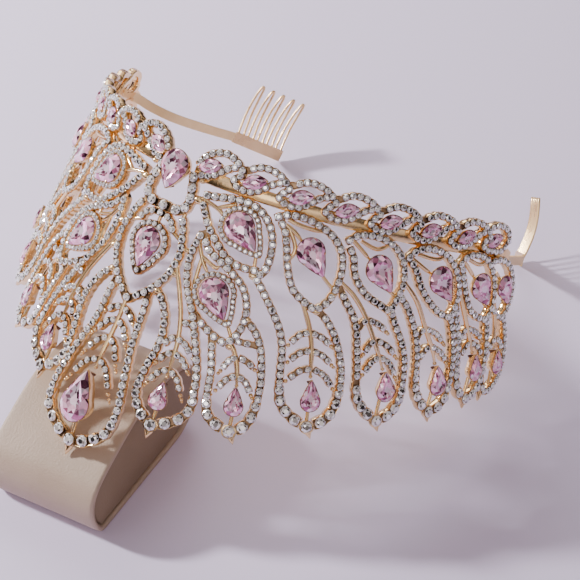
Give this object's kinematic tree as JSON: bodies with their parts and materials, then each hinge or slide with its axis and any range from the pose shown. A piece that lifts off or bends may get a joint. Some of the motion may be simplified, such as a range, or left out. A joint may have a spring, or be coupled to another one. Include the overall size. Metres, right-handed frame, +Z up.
{
  "type": "princess crown on a leather display block",
  "caption": "Flared gold crown of stone-set petals and feather drops with side combs, tipped back on a small leather-wrapped display block.",
  "frame": {"origin": "centre of the footprint box, on the floor", "axes": "+Z up, the crown's front and its longest feather towards -Y, the wearer's combs towards +Y, +X to the crown's right in the picture"},
  "size_m": [0.1682, 0.1979, 0.0969],
  "materials": {
    "pale_gold": "polished pale gold plating",
    "rose_crystal": "foil-backed rose glass, faceted",
    "beige_leather": "smooth beige leatherette",
    "taupe_leather": "smooth taupe leatherette"
  },
  "bodies": {
    "root": {"crown_frame": "pale_gold", "comb_left": "pale_gold", "comb_right": "pale_gold", "stone_centre_pear": "rose_crystal", "stone_feather_centre": "rose_crystal", "stone_feather_end_left": "rose_crystal", "stone_feather_end_right": "rose_crystal", "stone_feather_five_left": "rose_crystal", "stone_feather_five_right": "rose_crystal", "stone_feather_four_left": "rose_crystal", "stone_feather_four_right": "rose_crystal", "stone_feather_one_left": "rose_crystal", "stone_feather_one_right": "rose_crystal", "stone_feather_six_left": "rose_crystal", "stone_feather_six_right": "rose_crystal", "stone_feather_three_left": "rose_crystal", "stone_feather_three_right": "rose_crystal", "stone_feather_two_left": "rose_crystal", "stone_feather_two_right": "rose_crystal", "stone_petal_end_left": "rose_crystal", "stone_petal_end_right": "rose_crystal", "stone_petal_five_left": "rose_crystal", "stone_petal_five_right": "rose_crystal", "stone_petal_four_left": "rose_crystal", "stone_petal_four_right": "rose_crystal", "stone_petal_seven_left": "rose_crystal", "stone_petal_seven_right": "rose_crystal", "stone_petal_six_left": "rose_crystal", "stone_petal_six_right": "rose_crystal", "stone_petal_three_left": "rose_crystal", "stone_petal_three_right": "rose_crystal", "stone_petal_two_left": "rose_crystal", "stone_petal_two_right": "rose_crystal", "stone_top_drop": "rose_crystal", "block_wrap": "beige_leather", "block_core": "taupe_leather"}
  },
  "joints": []
}
